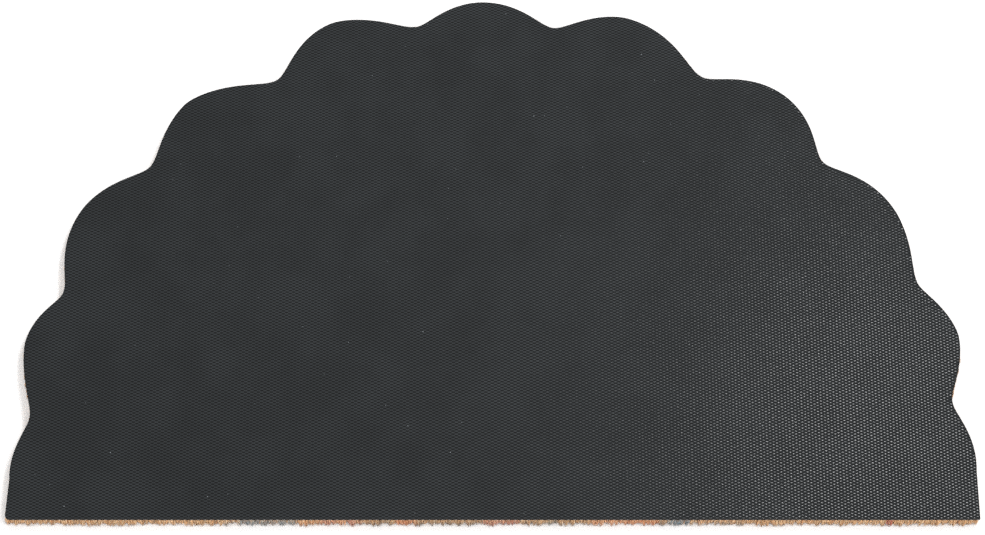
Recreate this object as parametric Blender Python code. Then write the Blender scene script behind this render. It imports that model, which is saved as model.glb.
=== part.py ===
"""Half-moon coir doormat with a scalloped edge, lying face down.

The mat is two pieces, cut together along one outline: a sheet of black vinyl backing on
top, and under it the brush of coir that it carries, standing on the floor. Lengths are in
metres. Z points up, the straight edge faces -Y, and the origin is on the floor under the
middle of the mat.
"""

import math
import random
from collections import namedtuple

import bmesh
import bpy
from mathutils import Vector

# Driving dimensions of the mat
MAT_WIDTH = 0.750
MAT_DEPTH = 0.450
MAT_HEIGHT = 0.015
BACKING_THICKNESS = 0.002
PIECE_GAP = 0.0003

# The scallops swing about one circle, whose centre lies in from the straight edge
SCALLOP_RADIUS = 0.377
SCALLOP_CENTRE_IN = 0.072

# Each row is one scallop as the knife left it, from the right end round to the left end:
# crest_deg is the direction of its crest from the circle's centre, 0 pointing to +X;
# crest_out is how far the crest stands outside the circle;
# right_flank and left_flank say how each side falls away, 2 as a round arch, 1 straight;
# notch_deg and notch_in place the notch to its left, and how far inside the circle it is.
Scallop = namedtuple("Scallop", "crest_deg crest_out right_flank left_flank notch_deg notch_in")
SCALLOPS = (
    Scallop(-5.0, -0.0010, 2.0, 2.0, 4.0, 0.0170),
    Scallop(12.5, -0.0010, 1.6, 1.7, 20.5, 0.0170),
    Scallop(30.5, -0.0030, 1.6, 2.2, 41.0, 0.0235),
    Scallop(51.0, -0.0005, 2.0, 2.0, 61.0, 0.0240),
    Scallop(73.0, 0.0025, 2.0, 1.7, 82.0, 0.0195),
    Scallop(91.5, 0.0010, 2.0, 1.9, 100.0, 0.0165),
    Scallop(110.0, 0.0050, 1.6, 1.9, 120.0, 0.0240),
    Scallop(131.0, 0.0015, 1.6, 1.6, 140.5, 0.0190),
    Scallop(150.5, 0.0030, 1.9, 2.0, 161.0, 0.0170),
    Scallop(168.5, -0.0015, 2.0, 1.4, 178.0, 0.0160),
    Scallop(186.0, -0.0015, 1.8, 2.0, None, None),
)
NOTCH_TIGHTNESS = 7
POINTS_PER_FLANK = 14

# Both ends of the straight edge are worn: the vinyl at the left, the tufts at both
VINYL_CORNER_RADII = (0.0005, 0.0035)
PILE_CORNER_RADII = (0.0045, 0.0020)
CORNER_STEPS = 3

# The cut side of the pile is a row of tufts, each a ridge between two grooves
TUFT_PITCH = 0.006
TUFT_PITCH_VARIATION = 0.3
TUFT_DEPTH = 0.0018
TUFT_DEPTH_VARIATION = 0.5
TUFT_SEED = 11

# The knife leaned, so the tips lie a little to the left of the roots
CUT_LEAN = -0.0012

# Rings of the pile's side, from the tips on the floor up to the roots:
# height is a share of the pile's depth, splay is how far the ring stands outside the cut,
# and relief is the share of the tufts' full depth that shows there.
Ring = namedtuple("Ring", "height splay relief")
PILE_RINGS = (
    Ring(0.00, -0.0010, 1.0),
    Ring(0.16, 0.0000, 1.0),
    Ring(0.60, -0.0001, 0.7),
    Ring(1.00, -0.0004, 0.2),
)

BACKING_COLOUR = (0.022, 0.023, 0.025, 1.0)
BACKING_ROUGHNESS = 0.48
PILE_COLOUR = (0.45, 0.24, 0.10, 1.0)
PILE_ROUGHNESS = 0.95


def clear_scene():
    for scene_object in list(bpy.data.objects):
        bpy.data.objects.remove(scene_object)


def fall(share, flank):
    """How far a scallop has dropped, 0 at its crest to 1 in a notch with a round bottom."""
    rounding = (flank / NOTCH_TIGHTNESS) * (1.0 - share**NOTCH_TIGHTNESS)
    return share**flank * (1.0 + rounding)


def on_edge(degrees, beyond):
    """A point of the scalloped edge from its direction and how far it is outside the circle."""
    angle = math.radians(degrees)
    radius = SCALLOP_RADIUS + beyond
    x = radius * math.cos(angle)
    y = SCALLOP_CENTRE_IN - MAT_DEPTH / 2 + radius * math.sin(angle)
    half_width = MAT_WIDTH / 2
    return Vector((max(-half_width, min(half_width, x)), y))


def flank_points(crest, flank, notch):
    """Points down one side of a scallop, from just below its crest to just above the notch."""
    drop = crest.crest_out + notch.notch_in
    points = []
    for step in range(1, POINTS_PER_FLANK):
        share = step / POINTS_PER_FLANK
        degrees = crest.crest_deg + (notch.notch_deg - crest.crest_deg) * share
        points.append(on_edge(degrees, crest.crest_out - drop * fall(share, flank)))
    return points


def scalloped_edge():
    """The curved edge, from the right end of the straight edge round to the left."""
    first = SCALLOPS[0]
    points = [on_edge(first.crest_deg, first.crest_out)]
    for right, left in zip(SCALLOPS, SCALLOPS[1:]):
        points += flank_points(right, right.left_flank, right)
        points.append(on_edge(right.notch_deg, -right.notch_in))
        points += reversed(flank_points(left, left.right_flank, right))
        points.append(on_edge(left.crest_deg, left.crest_out))
    return points


def worn_corner(side, radius):
    """A quarter circle at one end of the straight edge, side 1 for right and -1 for left."""
    centre = Vector((side * (MAT_WIDTH / 2 - radius), radius - MAT_DEPTH / 2))
    points = []
    for step in range(CORNER_STEPS + 1):
        turn = math.pi / 2 * step / CORNER_STEPS
        points.append(centre + radius * Vector((side * math.sin(turn), -math.cos(turn))))
    return points


def mat_outline(corner_radii):
    """The whole outline, anticlockwise seen from above, from the right corner."""
    right_radius, left_radius = corner_radii
    outline = worn_corner(1, right_radius)
    outline += scalloped_edge()
    outline += reversed(worn_corner(-1, left_radius))
    return outline


def edge_lengths(outline):
    following = outline[1:] + outline[:1]
    return [(end - start).length for start, end in zip(outline, following)]


def point_and_normal(outline, lengths, distance):
    """The place at a distance along the outline, and the way out of the mat there."""
    for index, length in enumerate(lengths):
        if distance <= length:
            break
        distance -= length
    start = outline[index]
    along = (outline[(index + 1) % len(outline)] - start).normalized()
    return start + along * distance, Vector((along.y, -along.x))


def tuft_edges(perimeter, rng):
    """Distances round the outline of the grooves between tufts, unevenly spaced."""
    count = round(perimeter / TUFT_PITCH)
    pitch = perimeter / count
    shift = TUFT_PITCH_VARIATION * pitch
    return [pitch * index + rng.uniform(-shift, shift) for index in range(1, count)] + [perimeter]


def tuft_profile(outline, rng):
    """Round the cut: position, outward normal and tuft depth, a groove then a ridge."""
    lengths = edge_lengths(outline)
    grooves = tuft_edges(sum(lengths), rng)
    profile = []
    previous = 0.0
    for groove in grooves:
        depth = TUFT_DEPTH * (1.0 + rng.uniform(-1.0, 1.0) * TUFT_DEPTH_VARIATION)
        profile.append(point_and_normal(outline, lengths, previous) + (0.0,))
        middle = (previous + groove) / 2
        profile.append(point_and_normal(outline, lengths, middle) + (depth,))
        previous = groove
    return profile


def add_material(name, colour, roughness):
    material = bpy.data.materials.new(name)
    material.use_nodes = True
    shader = material.node_tree.nodes["Principled BSDF"]
    shader.inputs["Base Color"].default_value = colour
    shader.inputs["Roughness"].default_value = roughness
    material.diffuse_color = colour
    return material


def add_layered_solid(name, rings, material):
    """A closed solid from rings of points, lowest first, each anticlockwise from above."""
    mesh = bmesh.new()
    loops = [[mesh.verts.new(point) for point in ring] for ring in rings]
    mesh.faces.new(reversed(loops[0]))
    mesh.faces.new(loops[-1])
    for lower, upper in zip(loops, loops[1:]):
        for index in range(len(lower)):
            following = (index + 1) % len(lower)
            mesh.faces.new((lower[index], lower[following], upper[following], upper[index]))
    mesh.normal_update()
    data = bpy.data.meshes.new(name)
    mesh.to_mesh(data)
    mesh.free()
    data.materials.append(material)
    piece = bpy.data.objects.new(name, data)
    bpy.context.scene.collection.objects.link(piece)
    return piece


def add_backing():
    """The vinyl sheet, embossed too finely for its solid to show."""
    outline = mat_outline(VINYL_CORNER_RADII)
    levels = (MAT_HEIGHT - BACKING_THICKNESS, MAT_HEIGHT)
    rings = [[point.to_3d() + Vector((0.0, 0.0, level)) for point in outline] for level in levels]
    material = add_material("black_vinyl", BACKING_COLOUR, BACKING_ROUGHNESS)
    return add_layered_solid("backing", rings, material)


def add_pile():
    """The coir brush: flat on the floor, with a tufted and slightly splayed side."""
    pile_depth = MAT_HEIGHT - BACKING_THICKNESS - PIECE_GAP
    profile = tuft_profile(mat_outline(PILE_CORNER_RADII), random.Random(TUFT_SEED))
    rings = []
    for ring in PILE_RINGS:
        lean = Vector((CUT_LEAN * (1.0 - ring.height), 0.0))
        height = Vector((0.0, 0.0, ring.height * pile_depth))
        points = []
        for position, outward, depth in profile:
            reach = ring.splay + ring.relief * depth
            points.append((position + lean + outward * reach).to_3d() + height)
        rings.append(points)
    material = add_material("coir", PILE_COLOUR, PILE_ROUGHNESS)
    return add_layered_solid("pile", rings, material)


def main():
    clear_scene()
    add_backing()
    add_pile()


main()
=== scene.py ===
"""The looks of a half-moon coir doormat that lies face down.

Its black vinyl backing faces up, embossed all over with staggered pits. Under it stands the
brush of coir, whose outer fibres show round the cut, dyed in places along the straight edge.
Lengths are in metres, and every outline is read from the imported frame.
"""

import math
from collections import namedtuple

import bmesh
import bpy
import numpy as np
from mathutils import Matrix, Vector
from mathutils.geometry import delaunay_2d_cdt


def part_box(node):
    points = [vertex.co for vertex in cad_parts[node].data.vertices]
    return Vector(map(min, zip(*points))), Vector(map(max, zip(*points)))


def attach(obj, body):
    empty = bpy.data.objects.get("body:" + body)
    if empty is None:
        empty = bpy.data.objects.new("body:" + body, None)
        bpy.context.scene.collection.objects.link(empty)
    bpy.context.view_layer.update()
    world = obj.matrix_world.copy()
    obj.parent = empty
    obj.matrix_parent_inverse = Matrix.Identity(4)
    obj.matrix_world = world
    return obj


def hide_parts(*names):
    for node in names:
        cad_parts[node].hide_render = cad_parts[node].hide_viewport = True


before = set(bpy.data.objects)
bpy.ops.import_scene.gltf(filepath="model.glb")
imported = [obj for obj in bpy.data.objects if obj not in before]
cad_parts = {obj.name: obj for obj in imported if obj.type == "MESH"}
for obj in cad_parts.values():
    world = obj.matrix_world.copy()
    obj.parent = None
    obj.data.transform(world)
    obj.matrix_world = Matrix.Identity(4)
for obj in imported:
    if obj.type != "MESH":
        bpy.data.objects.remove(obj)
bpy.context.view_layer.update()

# The camera looks down at the mat from in front of its straight edge
CAMERA_TARGET = Vector((0.0, -0.014, 0.015))
CAMERA_DISTANCE = 2.50
CAMERA_TILT = math.radians(23.5)
CAMERA_LENS_MM = 114.9

# How near two points or levels have to be to count as one
SAME_POINT = 1e-6
SAME_LEVEL = 1e-5
SAME_IN_FILL = 1e-7

# Neighbouring sides of an outline belong to one curve if none is this many times another
CURVE_EVENNESS = 2.5

# Grids reach this far from the middle of the mat, past all its edges
GRID_HALF_WIDTH = 0.4
GRID_HALF_DEPTH = 0.25

# The emboss: columns of pits, each column shifted half a step from the next
COLUMN_PITCH = 0.00254
PIT_PITCH = 0.00250
PIT_DEPTH = 0.00030
RIM_MARGIN = 0.0008
RIM_STEP = 0.0013
RIM_BEVEL = 0.00025

# The brush behind the outer fibres, whose underside is scattered with lumps
BRUSH_INSET = 0.0014
BRUSH_RIDGE = 0.0009
BRUSH_GRID = 0.0024
BRUSH_SCATTER = 0.3
BRUSH_LUMP = 0.0016
BRUSH_LUMP_POWER = 1.5

# Rings up the brush's side to the vinyl, where it ends without ridges: relief is the share
# of a ridge's full size that shows there.
BrushRing = namedtuple("BrushRing", "height relief")
BRUSH_RINGS = (
    BrushRing(0.0016, 1.2),
    BrushRing(0.0050, 1.0),
    BrushRing(0.0090, 0.5),
)

# The outer fibres, which gather into small pointed tufts
FIBRES_PER_METRE = 20000
POINTS_PER_FIBRE = 7
FIBRE_RADIUS = 0.00019
FIBRE_DEPTH = 0.0042
TUFT_PITCH = 0.0027
TUFT_SPLAY = 0.0022
TUFT_LEAN = 0.0012
TIP_HEIGHT = 0.0018
RANDOM_SEED = 7

# How the tufts differ, as shares of the sizes above
TUFT_SHIFT = 0.35
SPLAY_SHARES = (-0.2, 1.0)
MEAN_LEAN = -0.5
LIFT_POWER = 2

# How the fibres of a tuft differ: SCATTER is in metres, and SHARES are of what they name
ROOT_INSET = 0.0003
ROOT_POWER = 1.4
PULL_SHARES = (0.3, 0.8)
TIP_ALONG_SCATTER = 0.0005
TIP_OUT_SCATTER = 0.0004
TIP_DEPTH_SHARE = 0.55
TIP_CLEARANCE = 0.0001
TIP_HEIGHT_SCATTER = 0.0006
TIP_HEIGHT_LIMIT = 0.006
MIDDLE_ALONG_SCATTER = 0.0004
MIDDLE_BULGE = 0.0002
MIDDLE_OUT_SCATTER = 0.0003
MIDDLE_OUT_SHARE = 0.45
MIDDLE_DEPTH_SHARE = 0.5
MIDDLE_HEIGHT_SHARES = (0.40, 0.55)
MIDDLE_HEIGHT_LIMIT = 0.010
RADIUS_SHARES = (0.7, 1.25)
MIDDLE_RADIUS_SHARE = 0.85

# A fibre's square of the texture: its three sides stand in a row over the root's end
UV_LEFT = 0.14
UV_SIDE_WIDTH = 0.24
UV_ROOT_END_LOW = 0.02
UV_ROOT_END_HIGH = 0.10
UV_ROOT = 0.12
UV_MIDDLE = 0.50
UV_TIP = 0.92

# Linear colours
PAD_COLOUR = (0.0230, 0.0262, 0.0282)
# The next colour is painted shade in the emboss's pits, much darker than the vinyl itself
PIT_PAINTED_SHADE = (0.0008, 0.0009, 0.0010)
DUST_COLOUR = (0.33, 0.36, 0.38)
STRAW = (0.80, 0.58, 0.36)
TAN = (0.70, 0.42, 0.21)
RUST = (0.46, 0.21, 0.09)
BLUE = (0.16, 0.27, 0.34)
GREEN_BLUE = (0.09, 0.20, 0.22)
GREY = (0.14, 0.14, 0.14)
ROSE = (0.52, 0.19, 0.17)
ORANGE = (0.66, 0.23, 0.11)
PEACH = (0.76, 0.38, 0.22)
RED = (0.45, 0.04, 0.06)
DIM_FLOOR = (0.88, 0.88, 0.88)
BRIGHT_FLOOR = (0.90, 0.90, 0.90)
SKY_COLOUR = (0.97, 0.985, 1.0, 1.0)

# Undyed fibres: below the first share they are straw, below the second tan, the rest rust
NATURAL_SHARES = (0.30, 0.88)
NATURAL_SPREAD = 0.13
NATURAL_LIMITS = (0.6, 1.3)

# Each row is a stretch of the straight edge whose fibres are dyed: left_x and right_x are
# its ends, and tip, middle and root are how much of the dye the fibre takes there.
Dye = namedtuple("Dye", "left_x right_x colour tip middle root")
DYES = (
    Dye(-0.208, -0.194, BLUE, 0.7, 0.4, 0.0),
    Dye(-0.194, -0.152, BLUE, 0.9, 0.8, 0.4),
    Dye(-0.152, -0.132, ORANGE, 0.4, 0.3, 0.1),
    Dye(-0.132, -0.122, ROSE, 0.8, 0.7, 0.4),
    Dye(-0.122, -0.113, PEACH, 0.9, 0.8, 0.5),
    Dye(-0.113, -0.101, ROSE, 0.8, 0.7, 0.4),
    Dye(-0.101, -0.075, GREY, 0.8, 0.4, 0.0),
    Dye(-0.075, -0.059, ORANGE, 0.9, 0.8, 0.4),
    Dye(-0.059, -0.007, GREY, 0.9, 0.5, 0.0),
    Dye(-0.007, 0.021, ROSE, 0.8, 0.7, 0.3),
    Dye(0.021, 0.043, GREY, 0.7, 0.3, 0.0),
    Dye(0.043, 0.050, GREEN_BLUE, 0.9, 0.7, 0.2),
    Dye(0.050, 0.075, GREY, 0.5, 0.2, 0.0),
    Dye(0.075, 0.102, PEACH, 0.9, 0.8, 0.4),
    Dye(0.102, 0.128, ORANGE, 0.8, 0.7, 0.3),
    Dye(0.128, 0.135, GREY, 0.8, 0.6, 0.2),
    Dye(0.135, 0.151, BLUE, 0.9, 0.9, 0.6),
    Dye(0.151, 0.195, BLUE, 0.5, 0.2, 0.0),
    Dye(0.303, 0.306, RED, 0.9, 0.9, 0.6),
)
DYE_BLEED = 0.0012
DYE_UPTAKE = (0.55, 1.1)
DYE_STRENGTH = (0.75, 1.25)

# The range that soft noise mostly covers
NOISE_RANGE = (0.3, 0.7)

# The vinyl's emboss in its material, from the wave that is 1 in pits and -1 on pads
DRIFT_SCALE = 90.0
DRIFT = 0.0003
PIT_RANGE = (-0.55, 0.55)
CROWN_RANGE = (-0.30, -0.85)
PIT_BUMP = -0.00012

# The vinyl's unevenness, clouding, shine and dust
UNEVEN_SIZE = 0.0025
UNEVEN_BUMP = 0.00005
CLOUD_SIZE = 0.035
CLOUD_SHADES = (0.88, 1.12)
SHINE_RANGE = (0.25, 0.65)
SHINE_SHARES = (0.7, 1.0)
MATT_ROUGHNESS = 0.75
CROWN_ROUGHNESS = 0.18
VINYL_SPECULAR = 0.2
DUST_COVER = 0.5
Specks = namedtuple("Specks", "spacing radius share")
LARGE_SPECKS = Specks(0.011, 0.0004, 0.10)
SMALL_SPECKS = Specks(0.006, 0.00025, 0.12)

# The strands' blotches and grain, and the brush's fibre ends, with painted shade in the hollows
# between them, and clumps
BLOTCH_SIZE = 0.0012
BLOTCH_SHADES = (0.78, 1.12)
STRAND_ROUGHNESS = (0.62, 0.85)
GRAIN_SIZE = 0.0003
GRAIN_BUMP = 0.00005
ENDS_SIZE = 0.0006
ENDS_RANGE = (0.35, 0.65)
# The next two set the painted shade in the hollows between the brush's fibre ends
ENDS_PAINTED_SHADE_RANGE = (0.3, 0.6)
ENDS_PAINTED_SHADES = (0.45, 1.0)
ENDS_ROUGHNESS = (0.95, 0.8)
ENDS_BUMP = 0.0008
CLUMPS_SIZE = 0.004
CLUMPS_RANGE = (0.45, 0.75)

# The floor and the lights
FLOOR_HALF_WIDTH = 15.0
FLOOR_CLOUD_SIZE = 0.8
FLOOR_ROUGHNESS = 0.9
SKY_STRENGTH = 0.10
SUN_ENERGY = 2.1
SUN_ANGLE = math.radians(60)
SUNS = {"left_sky": (-1.6, -1.2, 2.0), "right_sky": (1.4, -1.4, 2.0)}
AREA_LIGHT_FACTOR = 4.0
Softbox = namedtuple("Softbox", "name location target width height radiance")
SOFTBOXES = (
    Softbox("strip", (0.60, 0.56, 2.0), (0.30, -0.16, 0.0), 0.50, 0.50, 26.0),
    Softbox("back_card", (0.0, 2.1, 2.1), (0.0, 0.0, 0.0), 3.0, 1.2, 0.7),
    Softbox("left_card", (-1.5, 0.8, 1.9), (0.0, 0.0, 0.0), 1.0, 2.0, 0.4),
    Softbox("top_card", (0.0, 0.1, 2.4), (0.0, 0.0, 0.0), 3.0, 0.7, 0.3),
)

# Sockets of the Mix node when it mixes colours, by their numbers, as their names repeat
MIX_SHARE = 0
MIX_FIRST = 6
MIX_SECOND = 7
MIX_RESULT = 2


def upper_outline(node_name):
    """The loop round a CAD node's flat top, anticlockwise from above, as rows of X and Y."""
    mesh = bmesh.new()
    mesh.from_mesh(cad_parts[node_name].data)
    bmesh.ops.remove_doubles(mesh, verts=mesh.verts, dist=SAME_POINT)
    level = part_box(node_name)[1].z - SAME_LEVEL
    lid = {face for face in mesh.faces if all(vert.co.z > level for vert in face.verts)}
    following = {}
    for face in lid:
        for loop in face.loops:
            if len(lid.intersection(loop.edge.link_faces)) == 1:
                following[loop.vert] = loop.link_loop_next.vert
    start = min(following, key=lambda vert: (round(vert.co.y, 5), vert.co.x))
    outline = [start]
    while following[outline[-1]] is not start:
        outline.append(following[outline[-1]])
    points = np.array([vert.co[:2] for vert in outline])
    mesh.free()
    return points


def smoothed(outline):
    """The loop with a point added in each side, by the four-point rule along its curves."""
    before, end, after = (np.roll(outline, shift, axis=0) for shift in (1, -1, -2))
    pairs = (outline - before, end - outline, after - end)
    sides = [np.linalg.norm(pair, axis=1) for pair in pairs]
    even = np.max(sides, axis=0) < CURVE_EVENNESS * np.min(sides, axis=0)
    curved = (9.0 * (outline + end) - before - after) / 16.0
    middle = np.where(even[:, None], curved, (outline + end) / 2.0)
    return np.stack([outline, middle], axis=1).reshape(-1, 2)


def divided(outline, longest):
    """The loop with its sides cut up, so that none is longer than a given step."""
    points = []
    for start, end in zip(outline, np.roll(outline, -1, axis=0)):
        steps = math.ceil(np.linalg.norm(end - start) / longest)
        points += [start + (end - start) * step / steps for step in range(steps)]
    return np.array(points)


def unit(vectors):
    return vectors / np.linalg.norm(vectors, axis=1, keepdims=True)


def inset(outline, distance):
    """The loop moved in by a distance, which may differ from point to point."""
    along = unit(np.roll(outline, -1, axis=0) - np.roll(outline, 1, axis=0))
    inward = np.stack([-along[:, 1], along[:, 0]], axis=1)
    return outline + inward * np.reshape(distance, (-1, 1))


def grid_inside(outline, x_step, y_step):
    """A grid over the loop: column and row numbers of its points, and which are inside."""
    last_column = round(GRID_HALF_WIDTH / x_step)
    last_row = round(GRID_HALF_DEPTH / y_step)
    columns = np.arange(-last_column, last_column + 1)
    rows = np.arange(-last_row, last_row + 1)
    start, end = outline, np.roll(outline, -1, axis=0)
    inside = np.zeros((len(columns), len(rows)), bool)
    for index, y in enumerate(rows * y_step):
        crossing = (start[:, 1] > y) != (end[:, 1] > y)
        low, high = start[crossing], end[crossing]
        x = low[:, 0] + (y - low[:, 1]) * (high[:, 0] - low[:, 0]) / (high[:, 1] - low[:, 1])
        inside[:, index] = (x[None, :] < columns[:, None] * x_step).sum(axis=1) % 2 == 1
    return columns, rows, inside


def loop_edges(first, count):
    """The edges of a closed loop of points, from the number of its first point."""
    return [(first + index, first + (index + 1) % count) for index in range(count)]


def centres_inside(outline, centres):
    """Which of some points lie inside the loop."""
    inside = np.zeros(len(centres), bool)
    for start, end in zip(outline, np.roll(outline, -1, axis=0)):
        crossing = (start[1] > centres[:, 1]) != (end[1] > centres[:, 1])
        if crossing.any():
            y = centres[crossing, 1]
            x = start[0] + (y - start[1]) * (end[0] - start[0]) / (end[1] - start[1])
            inside[crossing] ^= centres[crossing, 0] < x
    return inside


def filled(outline, inner, ridges):
    """Triangles, facing up, over a loop and the points inside it, with ridges kept as edges."""
    points = np.vstack([outline, inner]) if len(inner) else outline
    edges = loop_edges(0, len(outline)) + ridges
    vectors = [Vector(point) for point in points]
    _, _, faces, sources, _, _ = delaunay_2d_cdt(vectors, edges, [], 0, SAME_IN_FILL)
    source = np.array([indices[0] for indices in sources])
    triangles = source[np.array(faces)]
    centres = points[triangles].mean(axis=1)
    return points, triangles[centres_inside(outline, centres)]


def band(lower, upper, count):
    """Triangles, facing out, between two loops of the same count, given by their first points."""
    index = np.arange(count)
    following = (index + 1) % count
    low, low_next = lower + index, lower + following
    high, high_next = upper + index, upper + following
    return np.vstack([
        np.stack([low, low_next, high_next], axis=1),
        np.stack([low, high_next, high], axis=1),
    ])


def at_height(points, height):
    return np.column_stack([points, np.broadcast_to(height, len(points))])


def add_piece(name, points, triangles, smooth, material):
    """A mesh object made of triangles that rides on the mat."""
    mesh = bpy.data.meshes.new(name)
    mesh.from_pydata(points.tolist(), [], triangles.tolist())
    mesh.polygons.foreach_set("use_smooth", np.broadcast_to(smooth, len(triangles)).copy())
    mesh.materials.append(material)
    mesh.validate()
    piece = bpy.data.objects.new(name, mesh)
    bpy.context.scene.collection.objects.link(piece)
    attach(piece, "root")
    return piece


def set_uv(piece, corners):
    """Gives a piece the UV map for its textures."""
    layer = piece.data.uv_layers.new(name="OFBake")
    layer.data.foreach_set("uv", corners.astype(np.float32).ravel())


def pits(columns, rows):
    """Which points of the emboss's grid are pits: every second one, as on a chessboard."""
    return (columns[:, None] + rows[None, :]) % 2 == 0


def pad_ridges(columns, rows, numbers):
    """Pairs of neighbouring pads, so that each pit is closed in by its four pads."""
    pit = pits(columns[:-1], rows[:-1])
    a, b, c, d = numbers[:-1, :-1], numbers[1:, :-1], numbers[1:, 1:], numbers[:-1, 1:]
    first = np.where(pit, b, a)
    second = np.where(pit, d, c)
    whole = (first >= 0) & (second >= 0)
    return list(zip(first[whole].tolist(), second[whole].tolist()))


def add_backing(material):
    """The vinyl sheet, with every pad and pit of its emboss in the mesh."""
    outline = divided(smoothed(smoothed(upper_outline("backing"))), RIM_STEP)
    low, high = (corner.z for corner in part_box("backing"))
    rim = inset(outline, RIM_BEVEL)
    columns, rows, inside = grid_inside(inset(rim, RIM_MARGIN), COLUMN_PITCH, PIT_PITCH / 2.0)
    numbers = np.full(inside.shape, -1)
    numbers[inside] = len(rim) + np.arange(inside.sum())
    x, y = np.meshgrid(columns * COLUMN_PITCH, rows * PIT_PITCH / 2.0, indexing="ij")
    grid = np.stack([x, y], axis=-1)[inside]
    flat, top = filled(rim, grid, pad_ridges(columns, rows, numbers))
    heights = np.full(len(flat), high)
    heights[len(rim):][pits(columns, rows)[inside]] -= PIT_DEPTH
    _, underside = filled(outline, [], [])
    count = len(outline)
    wall, base = len(flat), len(flat) + count
    points = np.vstack([
        at_height(flat, heights),
        at_height(outline, high - RIM_BEVEL),
        at_height(outline, low),
    ])
    triangles = np.vstack([
        top,
        band(wall, 0, count),
        band(base, wall, count),
        underside[:, ::-1] + base,
    ])
    smooth = np.arange(len(triangles)) < len(top)
    piece = add_piece("vinyl_backing", points, triangles, smooth, material)
    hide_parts("backing")
    return piece


def waviness(distance, wavelength, rng):
    """A smooth random line, from -1 to 1, read at distances along the cut."""
    knots = rng.uniform(-1.0, 1.0, int(distance.max() / wavelength) + 3)
    return np.interp(distance / wavelength, np.arange(len(knots)), knots)


def distances_along(outline):
    """How far round the loop each of its points is, and last its whole length."""
    steps = np.linalg.norm(np.roll(outline, -1, axis=0) - outline, axis=1)
    return np.concatenate([[0.0], np.cumsum(steps)])


def add_brush(cut, material, rng):
    """The dense brush behind the outer fibres: ridged at its sides and lumpy underneath."""
    low, high = (corner.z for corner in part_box("pile"))
    count = len(cut)
    distance = distances_along(cut)[:-1]
    ridge = BRUSH_RIDGE * waviness(distance, TUFT_PITCH, rng)
    levels = BRUSH_RINGS + (BrushRing(high - low, 0.0),)
    rings = [
        at_height(inset(cut, BRUSH_INSET + level.relief * ridge), low + level.height)
        for level in levels
    ]
    lowest = rings[0][:, :2]
    columns, rows, inside = grid_inside(inset(lowest, BRUSH_GRID / 2), BRUSH_GRID, BRUSH_GRID)
    grid = np.stack(np.meshgrid(columns, rows, indexing="ij"), axis=-1)[inside] * BRUSH_GRID
    grid += rng.uniform(-BRUSH_SCATTER, BRUSH_SCATTER, grid.shape) * BRUSH_GRID
    _, under = filled(lowest, grid, [])
    lumps = low + BRUSH_LUMP * rng.uniform(0.0, 1.0, len(grid)) ** BRUSH_LUMP_POWER
    _, lid = filled(rings[-1][:, :2], [], [])
    points = np.vstack([at_height(grid, lumps)] + rings)
    starts = [len(grid) + count * index for index in range(len(rings))]
    under = np.where(under < count, under + len(grid), under - count)[:, ::-1]
    sides = [band(lower, upper, count) for lower, upper in zip(starts, starts[1:])]
    triangles = np.vstack([under] + sides + [lid + starts[-1]])
    piece = add_piece("coir_brush", points, triangles, True, material)
    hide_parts("pile")
    return piece


def on_cut(cut, distance, beyond):
    """Points at distances along the cut, and that far outside it."""
    marks = distances_along(cut)
    closed = np.vstack([cut, cut[:1]])

    def at(where):
        where = where % marks[-1]
        return np.stack([np.interp(where, marks, closed[:, axis]) for axis in (0, 1)], axis=1)

    along = unit(at(distance + TUFT_PITCH) - at(distance - TUFT_PITCH))
    outward = np.stack([along[:, 1], -along[:, 0]], axis=1)
    return at(distance) + outward * beyond[:, None]


def natural_colours(count, rng):
    """Undyed coir: mostly tan, some of it straw or rust."""
    kind = rng.random((count, 1))
    straw_below, tan_below = NATURAL_SHARES
    shade = np.where(kind < straw_below, STRAW, np.where(kind < tan_below, TAN, RUST))
    return shade * rng.normal(1.0, NATURAL_SPREAD, (count, 1)).clip(*NATURAL_LIMITS)


def dye_fibres(x, natural, rng):
    """Colours at the root, middle and tip of fibres that stand along the straight edge."""
    colours = np.repeat(natural[:, None, :], 3, axis=1)
    place = x + rng.normal(0.0, DYE_BLEED, len(x))
    for dye in DYES:
        dyed = (place > dye.left_x) & (place < dye.right_x)
        uptake = rng.uniform(*DYE_UPTAKE, (dyed.sum(), 1)) * (dye.root, dye.middle, dye.tip)
        uptake = uptake.clip(0.0, 1.0)[:, :, None]
        strength = rng.uniform(*DYE_STRENGTH, (dyed.sum(), 1, 1))
        added = np.array(dye.colour) * strength * uptake
        colours[dyed] = colours[dyed] * (1.0 - uptake) + added
    return colours


def fibre_triangles():
    """One fibre's faces: points 0 to 2 are its root ring, 3 to 5 its middle and 6 its tip."""
    faces = [(0, 1, 2)]
    for side in range(3):
        following = (side + 1) % 3
        faces.append((3 + side, 3 + following, following))
        faces.append((3 + side, following, side))
        faces.append((6, 3 + following, 3 + side))
    return np.array(faces)


def fibre_uv():
    """Where each corner of one fibre's faces lies in its own square of the texture."""
    edges = [UV_LEFT + side * UV_SIDE_WIDTH for side in range(4)]
    corners = [(
        (UV_LEFT, UV_ROOT_END_HIGH),
        (UV_LEFT + 1.5 * UV_SIDE_WIDTH, UV_ROOT_END_LOW),
        (UV_LEFT + 3 * UV_SIDE_WIDTH, UV_ROOT_END_HIGH),
    )]
    for left, right in zip(edges, edges[1:]):
        corners.append(((left, UV_MIDDLE), (right, UV_MIDDLE), (right, UV_ROOT)))
        corners.append(((left, UV_MIDDLE), (right, UV_ROOT), (left, UV_ROOT)))
        corners.append((((left + right) / 2, UV_TIP), (right, UV_MIDDLE), (left, UV_MIDDLE)))
    return np.array(corners)


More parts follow.
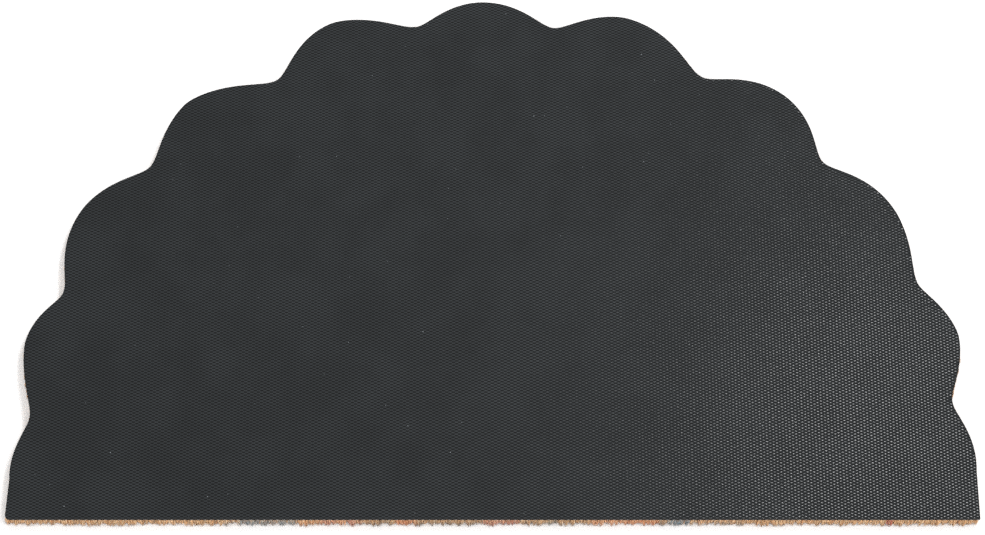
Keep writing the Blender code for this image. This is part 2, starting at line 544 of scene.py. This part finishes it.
def fibre_spots(cut, start, end, count, rng):
    """The roots, middles and tips of fibres on one stretch of the cut, as rows of X, Y and Z."""
    low, high = (corner.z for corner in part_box("pile"))
    tufts = np.arange(start - TUFT_PITCH, end + TUFT_PITCH, TUFT_PITCH)
    tufts += rng.uniform(-TUFT_SHIFT, TUFT_SHIFT, len(tufts)) * TUFT_PITCH
    splay = TUFT_SPLAY * rng.uniform(*SPLAY_SHARES, len(tufts))
    lean = TUFT_LEAN * rng.normal(MEAN_LEAN, 1.0, len(tufts))
    lift = TIP_HEIGHT * rng.uniform(0.0, 1.0, len(tufts)) ** LIFT_POWER

    root = rng.uniform(start, end, count)
    depth = ROOT_INSET + FIBRE_DEPTH * rng.uniform(0.0, 1.0, count) ** ROOT_POWER
    tuft = np.abs(root[:, None] - tufts[None, :]).argmin(axis=1)
    pull = rng.uniform(*PULL_SHARES, count)
    tip = root + pull * (tufts[tuft] - root) + lean[tuft]
    tip = tip + rng.normal(0.0, TIP_ALONG_SCATTER, count)
    tip_out = splay[tuft] - TIP_DEPTH_SHARE * depth + rng.normal(0.0, TIP_OUT_SCATTER, count)
    middle = 0.5 * (root + tip) + rng.normal(0.0, MIDDLE_ALONG_SCATTER, count)
    middle_out = MIDDLE_OUT_SHARE * tip_out - MIDDLE_DEPTH_SHARE * depth
    middle_out = middle_out + rng.normal(MIDDLE_BULGE, MIDDLE_OUT_SCATTER, count)
    tip_height = TIP_CLEARANCE + lift[tuft] + rng.exponential(TIP_HEIGHT_SCATTER, count)
    middle_height = tip_height + (high - low) * rng.uniform(*MIDDLE_HEIGHT_SHARES, count)
    return (
        at_height(on_cut(cut, root, -depth), high),
        at_height(on_cut(cut, middle, middle_out), low + middle_height.clip(0, MIDDLE_HEIGHT_LIMIT)),
        at_height(on_cut(cut, tip, tip_out), low + tip_height.clip(0, TIP_HEIGHT_LIMIT)),
    )


def fibre_points(roots, middles, tips, rng):
    """The seven points of each fibre: three round its root, three round its middle, one tip."""
    count = len(roots)
    turn = rng.uniform(0.0, 2.0 * math.pi, (count, 1)) + np.arange(3) * 2.0 * math.pi / 3.0
    ring = np.stack([np.cos(turn), np.sin(turn), np.zeros_like(turn)], axis=-1)
    radius = FIBRE_RADIUS * rng.uniform(*RADIUS_SHARES, (count, 1, 1))
    return np.concatenate([
        roots[:, None, :] + ring * radius,
        middles[:, None, :] + ring * radius * MIDDLE_RADIUS_SHARE,
        tips[:, None, :],
    ], axis=1)


def colour_fibres(piece, cut, roots, tips, rng):
    """Gives every point of the fibres its colour, dyed where they stand along the straight edge."""
    colours = np.repeat(natural_colours(len(roots), rng)[:, None, :], 3, axis=1)
    straight = roots[:, 1] < cut[:, 1].min() + 2.0 * FIBRE_DEPTH
    colours[straight] = dye_fibres(tips[straight, 0], colours[straight, 0], rng)
    colours = colours[:, [0, 0, 0, 1, 1, 1, 2], :].reshape(-1, 3)
    attribute = piece.data.color_attributes.new("fibre_colour", "FLOAT_COLOR", "POINT")
    rgba = np.column_stack([colours, np.ones(len(colours))]).astype(np.float32)
    attribute.data.foreach_set("color", rgba.ravel())


def add_fibres(name, cut, start, end, material, rng):
    """The outer fibres of one stretch of the cut, as one mesh."""
    count = round((end - start) * FIBRES_PER_METRE)
    roots, middles, tips = fibre_spots(cut, start, end, count, rng)
    points = fibre_points(roots, middles, tips, rng)
    triangles = fibre_triangles()[None] + POINTS_PER_FIBRE * np.arange(count)[:, None, None]
    piece = add_piece(name, points.reshape(-1, 3), triangles.reshape(-1, 3), True, material)
    colour_fibres(piece, cut, roots, tips, rng)
    across = math.ceil(math.sqrt(count))
    square = np.stack([np.arange(count) % across, np.arange(count) // across], axis=1)
    set_uv(piece, (square[:, None, None, :] + fibre_uv()[None]) / across)


def node(tree, kind, inputs=None, **settings):
    """A new shader node, with its settings, and with its inputs set or linked."""
    made = tree.nodes.new(kind)
    for name, value in settings.items():
        setattr(made, name, value)
    for name, value in (inputs or {}).items():
        if isinstance(value, bpy.types.NodeSocket):
            tree.links.new(value, made.inputs[name])
        else:
            made.inputs[name].default_value = value
    return made


def calculate(tree, operation, *values):
    made = node(tree, "ShaderNodeMath", dict(enumerate(values)), operation=operation)
    return made.outputs[0]


def noise(tree, place, size, detail):
    """Soft noise, mostly from 0.25 to 0.75, in lumps of about the given size."""
    inputs = {"Vector": place, "Scale": 1.0 / size, "Detail": detail}
    return node(tree, "ShaderNodeTexNoise", inputs).outputs["Fac"]


def ramp(tree, value, low, high, low_result=0.0, high_result=1.0):
    """The value's smooth step from low to high, as a number between the two results."""
    inputs = {"Value": value, "From Min": low, "From Max": high}
    inputs.update({"To Min": low_result, "To Max": high_result})
    made = node(tree, "ShaderNodeMapRange", inputs, interpolation_type="SMOOTHSTEP")
    return made.outputs["Result"]


def mixed(tree, share, first, second):
    """A colour between two, each a colour or another node's output."""
    made = node(tree, "ShaderNodeMix", {MIX_SHARE: share}, data_type="RGBA")
    for index, colour in ((MIX_FIRST, first), (MIX_SECOND, second)):
        if isinstance(colour, bpy.types.NodeSocket):
            tree.links.new(colour, made.inputs[index])
        else:
            made.inputs[index].default_value = (*colour, 1.0)
    return made.outputs[MIX_RESULT]


def scaled(tree, vector, factor):
    """A colour made brighter or darker, or a vector made longer or shorter."""
    inputs = {0: vector, "Scale": factor}
    return node(tree, "ShaderNodeVectorMath", inputs, operation="SCALE").outputs[0]


def new_material(name):
    material = bpy.data.materials.new(name)
    material.use_nodes = True
    tree = material.node_tree
    place = node(tree, "ShaderNodeTexCoord").outputs["Object"]
    return material, tree, tree.nodes["Principled BSDF"], place


def connect(tree, shader, height, **inputs):
    """Links the shader's inputs, and bends its surface by a height in metres."""
    bump = node(tree, "ShaderNodeBump", {"Height": height, "Distance": 1.0, "Strength": 1.0})
    tree.links.new(bump.outputs["Normal"], shader.inputs["Normal"])
    for name, value in inputs.items():
        tree.links.new(value, shader.inputs[name.replace("_", " ")])


def emboss_wave(tree, place):
    """1 in the middle of each pit and -1 in the middle of each pad, a little out of line."""
    inputs = {"Vector": place, "Scale": DRIFT_SCALE, "Detail": 1.0}
    drift = node(tree, "ShaderNodeTexNoise", inputs)
    shift = scaled(tree, drift.outputs["Color"], DRIFT)
    moved = node(tree, "ShaderNodeVectorMath", {0: place, 1: shift}, operation="ADD")
    apart = node(tree, "ShaderNodeSeparateXYZ", {0: moved.outputs[0]})
    across = calculate(tree, "MULTIPLY", apart.outputs["X"], math.pi / COLUMN_PITCH)
    along = calculate(tree, "MULTIPLY", apart.outputs["Y"], 2.0 * math.pi / PIT_PITCH)
    column_wave = calculate(tree, "COSINE", across)
    row_wave = calculate(tree, "COSINE", along)
    return calculate(tree, "MULTIPLY", column_wave, row_wave)


def specks(tree, place, kind):
    """1 on scattered round specks, 0 elsewhere; kind.share says how many spots have one."""
    inputs = {"Vector": place, "Scale": 1.0 / kind.spacing, "Randomness": 1.0}
    cells = node(tree, "ShaderNodeTexVoronoi", inputs, feature="F1")
    near = calculate(tree, "LESS_THAN", cells.outputs["Distance"], kind.radius / kind.spacing)
    chance = node(tree, "ShaderNodeSeparateColor", {0: cells.outputs["Color"]}).outputs[0]
    return calculate(tree, "MULTIPLY", near, calculate(tree, "LESS_THAN", chance, kind.share))


def vinyl_material():
    """Black vinyl: matt pits darkened with painted shade, smoother pads, and a little dust and
    clouding.
    """
    material, tree, shader, place = new_material("black_vinyl")
    wave = emboss_wave(tree, place)
    pit = ramp(tree, wave, *PIT_RANGE)
    crown = ramp(tree, wave, *CROWN_RANGE)
    uneven = noise(tree, place, UNEVEN_SIZE, 1.0)
    cloud = noise(tree, place, CLOUD_SIZE, 3.0)
    large, small = (specks(tree, place, kind) for kind in (LARGE_SPECKS, SMALL_SPECKS))
    dust = calculate(tree, "MAXIMUM", large, small)

    # Painted shade: the pits take a near-black colour, as if shaded by their walls
    colour = mixed(tree, pit, PAD_COLOUR, PIT_PAINTED_SHADE)
    colour = scaled(tree, colour, ramp(tree, cloud, *NOISE_RANGE, *CLOUD_SHADES))
    cover = calculate(tree, "MULTIPLY", dust, DUST_COVER)
    colour = mixed(tree, cover, colour, DUST_COLOUR)

    shine = ramp(tree, uneven, *SHINE_RANGE, *SHINE_SHARES)
    polish = calculate(tree, "MULTIPLY", crown, shine)
    roughness = ramp(tree, polish, 0.0, 1.0, MATT_ROUGHNESS, CROWN_ROUGHNESS)

    height = calculate(tree, "MULTIPLY", pit, PIT_BUMP)
    height = calculate(tree, "MULTIPLY_ADD", uneven, UNEVEN_BUMP, height)
    connect(tree, shader, height, Base_Color=colour, Roughness=roughness)
    shader.inputs["Specular IOR Level"].default_value = VINYL_SPECULAR
    return material


def fibre_material():
    """Coir strands, each in its own colour, with a dry and slightly waxy surface."""
    material, tree, shader, place = new_material("coir_strands")
    tint = node(tree, "ShaderNodeAttribute", attribute_name="fibre_colour").outputs["Color"]
    blotch = noise(tree, place, BLOTCH_SIZE, 2.0)
    colour = scaled(tree, tint, ramp(tree, blotch, *NOISE_RANGE, *BLOTCH_SHADES))
    roughness = ramp(tree, blotch, *NOISE_RANGE, *STRAND_ROUGHNESS)
    height = calculate(tree, "MULTIPLY", noise(tree, place, GRAIN_SIZE, 2.0), GRAIN_BUMP)
    connect(tree, shader, height, Base_Color=colour, Roughness=roughness)
    return material


def brush_material():
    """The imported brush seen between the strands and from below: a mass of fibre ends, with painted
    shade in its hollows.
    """
    material, tree, shader, place = new_material("coir_brush")
    ends = noise(tree, place, ENDS_SIZE, 2.0)
    clumps = noise(tree, place, CLUMPS_SIZE, 3.0)
    colour = mixed(tree, ramp(tree, ends, *ENDS_RANGE), RUST, TAN)
    colour = mixed(tree, ramp(tree, clumps, *CLUMPS_RANGE), colour, STRAW)
    # Painted shade: the colour darkens where the bump is low, in the hollows between the fibre ends
    colour = scaled(tree, colour, ramp(tree, ends, *ENDS_PAINTED_SHADE_RANGE, *ENDS_PAINTED_SHADES))
    roughness = ramp(tree, ends, *NOISE_RANGE, *ENDS_ROUGHNESS)
    height = calculate(tree, "MULTIPLY", ends, ENDS_BUMP)
    connect(tree, shader, height, Base_Color=colour, Roughness=roughness)
    return material


def floor_material():
    """A white floor with the faintest clouding."""
    material, tree, shader, place = new_material("pale_floor")
    colour = mixed(tree, noise(tree, place, FLOOR_CLOUD_SIZE, 2.0), DIM_FLOOR, BRIGHT_FLOOR)
    tree.links.new(colour, shader.inputs["Base Color"])
    shader.inputs["Roughness"].default_value = FLOOR_ROUGHNESS
    return material


def add_floor():
    mesh = bpy.data.meshes.new("floor")
    half = FLOOR_HALF_WIDTH
    corners = [(-half, -half, 0.0), (half, -half, 0.0), (half, half, 0.0), (-half, half, 0.0)]
    mesh.from_pydata(corners, [], [(0, 1, 2, 3)])
    mesh.materials.append(floor_material())
    floor = bpy.data.objects.new("floor", mesh)
    bpy.context.scene.collection.objects.link(floor)


def add_light(name, kind, location, target, **settings):
    data = bpy.data.lights.new(name, kind)
    for setting, value in settings.items():
        setattr(data, setting, value)
    light = bpy.data.objects.new(name, data)
    light.location = location
    direction = Vector(target) - Vector(location)
    light.rotation_euler = direction.to_track_quat("-Z", "Y").to_euler()
    bpy.context.scene.collection.objects.link(light)


def add_softbox(box):
    """A rectangular light that looks as bright as its radiance, whatever its size."""
    energy = AREA_LIGHT_FACTOR * box.radiance * box.width * box.height
    add_light(box.name, "AREA", box.location, box.target, shape="RECTANGLE", size=box.width,
              size_y=box.height, energy=energy)


def add_lighting():
    """A dim sky, two wide suns from the front, and softboxes that shine in the emboss."""
    world = bpy.data.worlds.new("studio")
    world.use_nodes = True
    background = world.node_tree.nodes["Background"]
    background.inputs["Color"].default_value = SKY_COLOUR
    background.inputs["Strength"].default_value = SKY_STRENGTH
    bpy.context.scene.world = world
    for name, location in SUNS.items():
        add_light(name, "SUN", location, (0, 0, 0), energy=SUN_ENERGY, angle=SUN_ANGLE)
    for box in SOFTBOXES:
        add_softbox(box)


def add_camera():
    data = bpy.data.cameras.new("camera")
    data.lens = CAMERA_LENS_MM
    camera = bpy.data.objects.new("camera", data)
    back = Vector((0.0, -math.sin(CAMERA_TILT), math.cos(CAMERA_TILT)))
    camera.location = CAMERA_TARGET + back * CAMERA_DISTANCE
    camera.rotation_euler = (CAMERA_TILT, 0.0, 0.0)
    bpy.context.scene.collection.objects.link(camera)
    bpy.context.scene.camera = camera


def add_mat():
    """The vinyl, the brush under it, and the outer fibres in four equal stretches."""
    rng = np.random.default_rng(RANDOM_SEED)
    cut = upper_outline("pile")
    backing = add_backing(vinyl_material())
    brush = add_brush(cut, brush_material(), rng)
    strands = fibre_material()
    perimeter = distances_along(cut)[-1]
    quarters = ("front", "right", "back", "left")
    for index, side in enumerate(quarters):
        start, end = perimeter * index / 4.0, perimeter * (index + 1) / 4.0
        add_fibres("coir_fibres_" + side, cut, start, end, strands, rng)


add_mat()
add_floor()
add_lighting()
add_camera()
bpy.context.scene.view_settings.view_transform = "Standard"

# The denoiser would take the small glints on the emboss for noise
bpy.context.scene.cycles.use_denoising = False
